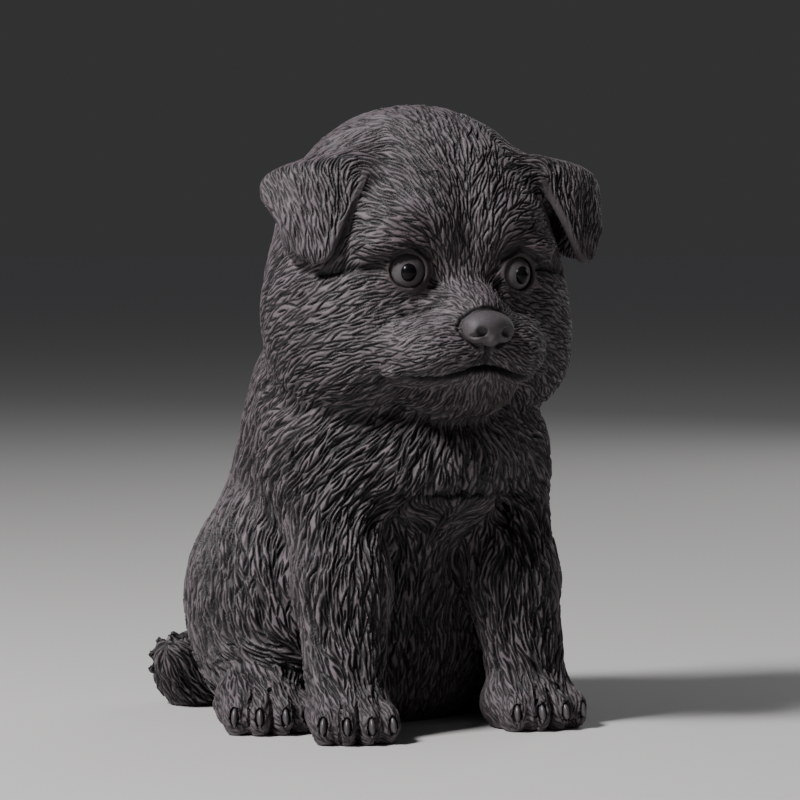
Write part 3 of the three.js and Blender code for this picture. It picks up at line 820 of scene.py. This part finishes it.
# browner round the eyes and under the chin; painted shade darkens the cuts, the creases and under the chin,
# partly a dark wash in the cuts
h = to_head(fine.T.astype(F)).T.astype(float)
h[:, 0] = np.abs(h[:, 0])
eye_gap = np.linalg.norm(h - EYE - (0, 0, 3), axis=1)
warmth = np.clip(1 - (eye_gap - 7) / 9, 0, 1) * 0.5
chin_gap = np.linalg.norm((h - CHIN) * (0.5, 1, 1), axis=1)
warmth = np.maximum(warmth, np.clip(1 - chin_gap / 16, 0, 1) * 0.5)
# painted shade under the chin
chin_shade = np.clip(1.3 - chin_gap / 17, 0, 1) * 0.12
# painted shade: the carve depths, the creases and the chin's shade darken the colour through the ramp in
# clay, partly a dark wash in the cuts
dark = np.maximum(grooves / 0.72 + locks / 3.2, smooth * 0.3) + folds / 2.4 + chin_shade
fine = fine + normals * shift[:, None]
fine[:, 2] = np.maximum(fine[:, 2], 0)

# ---- into Blender ----
def vertex_normals(points, quads):
    d1 = points[quads[:, 2]] - points[quads[:, 0]]
    d2 = points[quads[:, 3]] - points[quads[:, 1]]
    face = np.cross(d1, d2)
    out = np.empty_like(points)
    for axis in range(3):
        out[:, axis] = np.bincount(quads.ravel(), np.repeat(face[:, axis], 4), len(points))
    return out / np.maximum(np.linalg.norm(out, axis=1, keepdims=True), 1e-9)


def rim_loops(quads):
    """Closed loops of vertices round the open edge of a patch of quads."""
    edges = np.stack([quads, np.roll(quads, -1, 1)], 2).reshape(-1, 2)
    n = int(quads.max()) + 1
    code, times = np.unique(edges[:, 0] * n + edges[:, 1], return_counts=True)
    back = (code % n) * n + code // n
    at = np.minimum(np.searchsorted(code, back), len(code) - 1)
    spare = times - np.where(code[at] == back, times[at], 0)
    follow = {}
    for key, count in zip(code[spare > 0].tolist(), spare[spare > 0].tolist()):
        follow.setdefault(key % n, []).extend([key // n] * count)
    loops = []
    while follow:
        start = next(iter(follow))
        loop, at = [start], start
        while True:
            step = follow[at].pop()
            if not follow[at]:
                del follow[at]
            if step == start:
                break
            loop.append(step)
            at = step
        loops.append(loop)
    return loops


def finish_mesh(name, points, faces, values=None, normals=None, uv=None):
    """A smooth-shaded object from arrays; faces is (n, 4) quads plus a list of triangles."""
    quads, tris = faces
    mesh = bpy.data.meshes.new(name)
    flat = np.concatenate([quads.ravel(), np.array(tris, np.int64).ravel()]).astype(np.int32)
    sizes = np.concatenate([np.full(len(quads), 4), np.full(len(tris), 3)]).astype(np.int32)
    mesh.vertices.add(len(points))
    mesh.vertices.foreach_set("co", np.ascontiguousarray(points, dtype=F).ravel())
    mesh.loops.add(len(flat))
    mesh.loops.foreach_set("vertex_index", flat)
    mesh.polygons.add(len(sizes))
    mesh.polygons.foreach_set("loop_start", np.concatenate([[0], np.cumsum(sizes)[:-1]]).astype(np.int32))
    mesh.update(calc_edges=True)
    mesh.polygons.foreach_set("use_smooth", np.ones(len(sizes), bool))
    for key, data in (values or {}).items():
        layer = mesh.attributes.new(key, "FLOAT", "POINT")
        layer.data.foreach_set("value", np.ascontiguousarray(data, dtype=F))
    if uv is not None:
        layer = mesh.uv_layers.new(name="OFBake")
        layer.data.foreach_set("uv", np.ascontiguousarray(uv, dtype=F).ravel())
    if normals is not None:
        mesh.normals_split_custom_set_from_vertices(normals)
    ob = bpy.data.objects.new(name, mesh)
    bpy.context.scene.collection.objects.link(ob)
    return ob


def chart(verts, quads):
    """UVs of the coarse patch, laid out by Blender's smart projection."""
    mesh = bpy.data.meshes.new("chart")
    mesh.from_pydata(verts.tolist(), [], quads.tolist())
    ob = bpy.data.objects.new("chart", mesh)
    bpy.context.scene.collection.objects.link(ob)
    mesh.uv_layers.new(name="UV")
    bpy.ops.object.select_all(action="DESELECT")
    ob.select_set(True)
    bpy.context.view_layer.objects.active = ob
    bpy.ops.object.mode_set(mode="EDIT")
    bpy.ops.mesh.select_all(action="SELECT")
    bpy.ops.uv.smart_project(angle_limit=1.15, island_margin=0.004)
    bpy.ops.object.mode_set(mode="OBJECT")
    uv = np.empty(len(mesh.loops) * 2, F)
    mesh.uv_layers[0].data.foreach_get("uv", uv)
    bpy.data.objects.remove(ob)
    bpy.data.meshes.remove(mesh)
    return uv.reshape(-1, 4, 2)


def split_uv(uv):
    """The corners' UVs once each quad is four, in the order that split makes them."""
    centre = uv.mean(1)
    mid = (uv + np.roll(uv, -1, 1)) / 2
    parts = [np.stack([uv[:, i], mid[:, i], centre, mid[:, i - 1]], 1) for i in range(4)]
    return np.stack(parts, 1).reshape(-1, 4, 2)


def skin_piece(i):
    """One sub-part of the skin, closed behind its edge."""
    mine = np.where(label == i)[0]
    rows = (mine[:, None] * 4 + np.arange(4)).ravel()
    used, local = np.unique(faces[rows], return_inverse=True)
    local = local.reshape(-1, 4)
    points = fine[used]
    caps, extra = [], []
    middle = points.mean(0)
    for loop in rim_loops(local):
        centre = points[loop].mean(0)
        inward = middle - centre
        inward *= min(4.0, 0.5 * np.linalg.norm(inward)) / max(np.linalg.norm(inward), 1e-6)
        first = len(points) + len(extra)
        extra += list(points[loop] - skin_normals[used][loop] * RIM_DEPTH)
        extra.append(centre + inward)
        ring, apex = list(range(first, first + len(loop))), first + len(loop)
        for a, b, c, d in zip(loop, loop[1:] + loop[:1], ring[1:] + ring[:1], ring):
            caps += [(a, b, c), (a, c, d), (d, c, apex)]
    used_coarse, coarse = np.unique(quads[mine], return_inverse=True)
    uv = split_uv(chart(verts[used_coarse], coarse.reshape(-1, 4)))
    uv = np.concatenate([uv.reshape(-1, 2), np.full((3 * len(caps), 2), 0.0005)])
    if extra:
        points = np.concatenate([points, extra])
    pad = np.zeros(len(extra))
    values = {k: np.concatenate([v[used], pad]) for k, v in paint.items()}
    normal = np.concatenate([skin_normals[used], np.tile((0.0, 0.0, 1.0), (len(extra), 1))])
    return finish_mesh(PIECES[i] + "_clay", (points + SHIFT) * MM, (local, caps), values, normal, uv)


def ball_mesh(centre, radii, yaw=0.0, lean=0.0, level=4, rough=0.0, seed=1):
    """A slightly hand-worked ellipsoid, as arrays."""
    bm = bmesh.new()
    bmesh.ops.create_cube(bm, size=2)
    for _ in range(level):
        bmesh.ops.subdivide_edges(bm, edges=bm.edges, cuts=1, use_grid_fill=True)
    bm.verts.ensure_lookup_table()
    p = np.array([v.co for v in bm.verts])
    q = np.array([[v.index for v in f.verts] for f in bm.faces])
    bm.free()
    p = p / np.linalg.norm(p, axis=1, keepdims=True)
    bumps = np.random.default_rng(seed)
    wave, phase = bumps.normal(size=(6, 3)) * 2.2, bumps.uniform(0, 6.28, 6)
    p = p * (1 + rough * np.sin(p @ wave.T + phase).mean(1, keepdims=True)) * np.asarray(radii)
    c, s = math.cos(lean), math.sin(lean)
    p = np.stack([p[:, 0], p[:, 1] * c - p[:, 2] * s, p[:, 1] * s + p[:, 2] * c], 1)
    c, s = math.cos(yaw), math.sin(yaw)
    p = np.stack([p[:, 0] * c - p[:, 1] * s, p[:, 0] * s + p[:, 1] * c, p[:, 2]], 1)
    return p + centre, q


def ball(name, *args, **more):
    p, q = ball_mesh(*args, **more)
    return finish_mesh(name, (p + SHIFT) * MM, (q, []))


# ---- finishes ----
def clay(name, dark, light, rough, wash_and_shade=True, coat=0.0, grain=1.0, shine_level=0.4):
    """Fired clay, mottled from dark to light; when asked, the skin's carve attribute darkens it with painted
    shade in the cuts and creases, partly a dark wash, and lightens the uncut ridges with a painted highlight,
    partly dry-brushed wear.
    """
    mat = bpy.data.materials.new(name)
    mat.use_nodes = True
    nt = mat.node_tree
    nt.nodes.clear()

    def node(kind, **sets):
        n = nt.nodes.new(kind)
        for k, v in sets.items():
            if hasattr(n, k):
                setattr(n, k, v)
            else:
                n.inputs[k.replace("_", " ")].default_value = v
        return n

    def join(a, out, b, into):
        nt.links.new(a.outputs[out], b.inputs[into])

    def ramp(source, out, stops):
        r = node("ShaderNodeValToRGB")
        while len(r.color_ramp.elements) < len(stops):
            r.color_ramp.elements.new(0.5)
        for e, (at, value) in zip(r.color_ramp.elements, stops):
            e.position, e.color = at, (value, value, value, 1)
        join(source, out, r, "Fac")
        return r

    def mix(kind, factor, a, b):
        m = node("ShaderNodeMix", data_type="RGBA", blend_type=kind)
        for value, socket in ((factor, 0), (a, 6), (b, 7)):
            if isinstance(value, tuple) and hasattr(value[0], "outputs"):
                nt.links.new(value[0].outputs[value[1]], m.inputs[socket])
            else:
                m.inputs[socket].default_value = value
        return m

    place = node("ShaderNodeTexCoord")
    cloud = node("ShaderNodeTexNoise", Scale=38.0, Detail=5.0, Roughness=0.6)
    speck = node("ShaderNodeTexNoise", Scale=900.0, Detail=4.0, Roughness=0.65)
    pits = node("ShaderNodeTexVoronoi", Scale=1500.0)
    for n in (cloud, speck, pits):
        join(place, "Object", n, "Vector")
    patch = ramp(cloud, "Fac", ((0.32, 0.0), (0.68, 1.0)))
    base = mix("MIX", (patch, "Color"), dark, light)
    fleck = ramp(speck, "Fac", ((0.3, 0.82), (0.72, 1.16)))
    colour = mix("MULTIPLY", 1.0, (base, 2), (fleck, "Color"))
    shine = node("ShaderNodeMapRange", To_Min=rough - 0.07, To_Max=rough + 0.09)
    join(speck, "Fac", shine, "Value")
    bsdf = node("ShaderNodeBsdfPrincipled")
    if wash_and_shade:
        deep = node("ShaderNodeAttribute", attribute_name="wash_and_shade")
        warm = node("ShaderNodeAttribute", attribute_name="warm")
        # painted shade in the cuts and creases, partly a dark wash; the 1.45 at zero is a painted highlight
        # on the uncut ridges, partly dry-brushed wear
        wash_and_shade_ramp = ramp(deep, "Fac", ((0.0, 1.45), (0.14, 0.95), (0.42, 0.25), (1.0, 0.06)))
        colour = mix("MULTIPLY", 1.0, (colour, 2), (wash_and_shade_ramp, "Color"))
        colour = mix("MULTIPLY", (warm, "Fac"), (colour, 2), (1.0, 0.8, 0.68, 1))
    join(colour, 2, bsdf, "Base Color")
    join(shine, "Result", bsdf, "Roughness")
    bsdf.inputs["Coat Weight"].default_value = coat
    bsdf.inputs["Coat Roughness"].default_value = 0.12
    bsdf.inputs["Specular IOR Level"].default_value = shine_level
    fine_bump = node("ShaderNodeBump", Strength=0.35 * grain, Distance=0.00012)
    join(speck, "Fac", fine_bump, "Height")
    pit_bump = node("ShaderNodeBump", Strength=0.25 * grain, Distance=0.00010)
    join(pits, "Distance", pit_bump, "Height")
    join(fine_bump, "Normal", pit_bump, "Normal")
    join(pit_bump, "Normal", bsdf, "Normal")
    out = node("ShaderNodeOutputMaterial")
    join(bsdf, "BSDF", out, "Surface")
    return mat


def hand_over(ob, material, slot, *nodes):
    ob.data.materials.clear()
    ob.data.materials.append(material)
    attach(ob, "root")
    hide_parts(*nodes)


FUR = clay("fur_clay", (0.063, 0.050, 0.056, 1), (0.097, 0.079, 0.088, 1), 0.6)
NOSE_CLAY = clay("nose_clay", (0.048, 0.040, 0.044, 1), (0.072, 0.061, 0.067, 1), 0.6,
                 wash_and_shade=False, grain=1.4)
EYE_CLAY = clay("eye_clay", (0.062, 0.053, 0.057, 1), (0.088, 0.077, 0.082, 1), 0.46,
                wash_and_shade=False, coat=0.05, grain=0.5)
PUPIL_GLAZE = clay("pupil_glaze", (0.003, 0.003, 0.004, 1), (0.005, 0.005, 0.006, 1), 0.2,
                   wash_and_shade=False, grain=0.05, shine_level=0.16)
CLAW_GLAZE = clay("claw_glaze", (0.058, 0.050, 0.054, 1), (0.086, 0.075, 0.081, 1), 0.4,
                  wash_and_shade=False, coat=0.1, grain=0.5)
BASE_CLAY = clay("base_clay", (0.085, 0.078, 0.080, 1), (0.12, 0.11, 0.113, 1), 0.75, wash_and_shade=False)

low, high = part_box("nose")  # the nose ties the sculptor's frame to the CAD's
SHIFT = np.array((low + high) / 2) / MM - from_head(NOSE)
skin_normals = vertex_normals(fine, faces)
paint = {"wash_and_shade": np.clip(dark, 0, 1), "warm": warmth}
for i, name in enumerate(PIECES):
    hand_over(skin_piece(i), FUR, "fur_clay", name)


def nose_field(h):
    m = mirrored(h)
    d = lobe(h, (0, -66.4, 129.3), (7.9, 6.0, 4.6))
    d = smin(d, lobe(m, (4.6, -67.3, 127.5), (3.3, 4.5, 3.5)), 1.6)
    d = smin(d, lobe(h, (0, -68.0, 125.6), (2.8, 3.9, 2.7)), 1.4)
    d = smax(d, -lobe(m, (4.5, -72.6, 127.4), (2.1, 3.3, 1.75), 0.25), 0.5)
    d = smax(d, -limb(m, (5.0, -71.6, 126.7), (7.4, -69.2, 125.9), 1.2, 0.5), 0.5)
    return smax(d, -limb(h, (0, -73.6, 128.6), (0, -71.6, 122.0), 0.5, 0.8), 0.6)


points, q = surface_nets(nose_field, (-11, -77, 117), (11, -57, 138), NOSE_STEP)
points, _ = settle(nose_field, points, 3)
ob = finish_mesh("nose_pad", (from_head(points) + SHIFT) * MM, (q, []))
hand_over(ob, NOSE_CLAY, "nose_clay", "nose")

for side, who in ((1, "left"), (-1, "right")):
    centre = from_head((EYE - EYE_SHIFT * (side > 0)) * (side, 1, 1))
    look = head_dir((side * math.sin(EYE_OUT), -math.cos(EYE_OUT), 0))
    yaw = math.atan2(look[0], -look[1])
    eye = ball(who + "_eye_ball", centre, (EYE_R, EYE_R, EYE_R), level=5, rough=0.004, seed=5 + side)
    hand_over(eye, EYE_CLAY, "eye_clay", who + "_eyeball")
    seat = centre + look * (EYE_R - PUPIL_SUNK) - (0, 0, PUPIL_DROP)
    pupil = ball(who + "_pupil_bead", seat, PUPIL_R, yaw, level=5, rough=0.004, seed=9 + side)
    hand_over(pupil, PUPIL_GLAZE, "pupil_glaze", who + "_pupil")

for name, paw in PAWS.items():
    stem = name.replace("_paw", "") + "_claw_%d"
    for i, (_, facing, claw) in enumerate(toes(paw)):
        node = stem % (i + 1)
        nail = ball(node + "_nail", claw, CLAW_R, facing, CLAW_LEAN, level=4, rough=0.03, seed=30 + i)
        hand_over(nail, CLAW_GLAZE, "claw_glaze", node)

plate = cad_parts["base_plate"]
for s in plate.material_slots:
    s.material = BASE_CLAY

# ---- studio, in metres ----
AZIMUTH, ELEVATION = math.radians(-28), math.radians(2.5)
AIM_Z, AIM_RIGHT, AIM_UP = 100 * MM, 0.00161, 0.00387  # what the camera points at
CAMERA_AWAY, LENS, SENSOR = 1.2, 167.4, 36  # the last two in mm


def plain(name, colour, rough):
    mat = bpy.data.materials.new(name)
    mat.use_nodes = True
    bsdf = mat.node_tree.nodes["Principled BSDF"]
    bsdf.inputs["Base Color"].default_value = colour
    bsdf.inputs["Roughness"].default_value = rough
    return mat


bpy.ops.mesh.primitive_plane_add(size=120, location=(0, 0, 0))
floor = bpy.context.object
floor.name = "floor"
floor.data.materials.append(plain("floor_paint", (0.56, 0.55, 0.54, 1), 0.6))


def lamp(name, at, aim, size, watts, colour=(1, 1, 1)):
    data = bpy.data.lights.new(name, "AREA")
    data.size, data.energy, data.color = size, watts, colour
    ob = bpy.data.objects.new(name, data)
    ob.location = at
    ob.rotation_euler = (Vector(aim) - Vector(at)).to_track_quat("-Z", "Y").to_euler()
    bpy.context.scene.collection.objects.link(ob)


world = bpy.data.worlds.new("studio")
bpy.context.scene.world = world
world.use_nodes = True
sky = world.node_tree.nodes["Background"]
seen = world.node_tree.nodes.new("ShaderNodeLightPath")
tint = world.node_tree.nodes.new("ShaderNodeMix")
tint.data_type = "RGBA"
tint.inputs[6].default_value, tint.inputs[7].default_value = (0.80, 0.82, 0.86, 1), (0.505, 0.51, 0.52, 1)
world.node_tree.links.new(seen.outputs["Is Camera Ray"], tint.inputs[0])
world.node_tree.links.new(tint.outputs[2], sky.inputs["Color"])
sky.inputs["Strength"].default_value = 0.075
middle = (0, 0, AIM_Z)
lamp("key", (-0.97, -0.22, 1.09), middle, 0.26, 35)
lamp("fill", (1.3, 0.6, 0.8), middle, 1.0, 6)

level = math.cos(ELEVATION)
back = Vector((math.sin(AZIMUTH) * level, -math.cos(AZIMUTH) * level, math.sin(ELEVATION)))
right = Vector((math.cos(AZIMUTH), math.sin(AZIMUTH), 0))
aim = Vector(SHIFT * MM + (0, 0, AIM_Z)) + right * AIM_RIGHT + back.cross(right) * AIM_UP
camera = bpy.data.objects.new("camera", bpy.data.cameras.new("camera"))
camera.data.lens, camera.data.sensor_width = LENS, SENSOR
camera.location = aim + back * CAMERA_AWAY
camera.rotation_mode = "QUATERNION"
camera.rotation_quaternion = (-back).to_track_quat("-Z", "Y")
camera.data.clip_start, camera.data.clip_end = 0.05, 30
bpy.context.scene.collection.objects.link(camera)
bpy.context.scene.camera = camera
